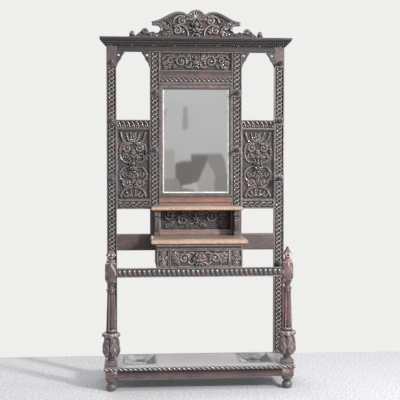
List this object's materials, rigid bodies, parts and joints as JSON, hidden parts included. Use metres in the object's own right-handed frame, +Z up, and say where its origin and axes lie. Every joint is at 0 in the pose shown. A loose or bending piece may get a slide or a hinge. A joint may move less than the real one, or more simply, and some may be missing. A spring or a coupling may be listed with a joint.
{
  "type": "hall tree with hooks",
  "caption": "Tall carved oak hall stand with a mirror, turned coat pegs, ledge, shelf over a drawer, and an umbrella rail above lift-out drip trays.",
  "frame": {"origin": "on the floor, under the middle of the whole piece", "axes": "+Z up, +Y towards the wall behind, so -Y is the front, and +X to the right of someone who faces it"},
  "size_m": [1.18, 0.4, 2.2745],
  "materials": {
    "dark_oak": "waxed, near black, worn to red-brown on the edges",
    "worn_oak": "worn to light tan along the front edges",
    "deal": "plain unpolished softwood",
    "mirror_silver": "bevelled silvered glass",
    "zinc": "dull grey pressed metal"
  },
  "bodies": {
    "root": {"back_rail": "dark_oak", "bracket_inner_left": "dark_oak", "bracket_inner_right": "dark_oak", "bracket_outer_left": "dark_oak", "bracket_outer_right": "dark_oak", "case_bottom": "dark_oak", "case_rail": "dark_oak", "case_side_left": "dark_oak", "case_side_right": "dark_oak", "cornice_board": "dark_oak", "cornice_moulding": "dark_oak", "crest_board": "dark_oak", "foot_front_left": "dark_oak", "foot_front_right": "dark_oak", "foot_rear_left": "dark_oak", "foot_rear_right": "dark_oak", "frieze_panel": "dark_oak", "front_leg_left": "dark_oak", "front_leg_right": "dark_oak", "ledge_rail": "dark_oak", "lower_shelf": "worn_oak", "mirror_backboard": "deal", "mirror_frame": "dark_oak", "mirror_glass": "mirror_silver", "mirror_top_rail": "dark_oak", "niche_panel": "dark_oak", "panel_rail_low_left": "dark_oak", "panel_rail_low_right": "dark_oak", "panel_rail_top_left": "dark_oak", "panel_rail_top_right": "dark_oak", "peg_inner_low_left": "dark_oak", "peg_inner_low_right": "dark_oak", "peg_inner_top_left": "dark_oak", "peg_inner_top_right": "dark_oak", "peg_outer_low_left": "dark_oak", "peg_outer_low_right": "dark_oak", "peg_outer_mid_left": "dark_oak", "peg_outer_mid_right": "dark_oak", "peg_outer_top_left": "dark_oak", "peg_outer_top_right": "dark_oak", "pilaster_left": "dark_oak", "pilaster_right": "dark_oak", "plinth_board": "dark_oak", "plinth_frame": "dark_oak", "side_panel_left": "dark_oak", "side_panel_right": "dark_oak", "stile_inner_left": "dark_oak", "stile_inner_right": "dark_oak", "stile_outer_left": "dark_oak", "stile_outer_right": "dark_oak", "top_rail": "dark_oak", "umbrella_rail_front": "dark_oak", "umbrella_rail_left": "dark_oak", "umbrella_rail_right": "dark_oak", "upper_ledge": "worn_oak"},
    "drawer": {"drawer_box": "deal", "drawer_front": "dark_oak", "drawer_pull": "dark_oak"},
    "left_tray": {"drip_tray_left": "zinc"},
    "right_tray": {"drip_tray_right": "zinc"}
  },
  "joints": [
    {"name": "drawer_slide", "type": "slide", "parent": "root", "child": "drawer", "axis": [0, -1, 0], "range_m": [0, 0.18]},
    {"name": "left_tray_lift", "type": "slide", "parent": "root", "child": "left_tray", "axis": [0, 0, 1], "range_m": [0, 0.1]},
    {"name": "right_tray_lift", "type": "slide", "parent": "root", "child": "right_tray", "axis": [0, 0, 1], "range_m": [0, 0.1]}
  ]
}
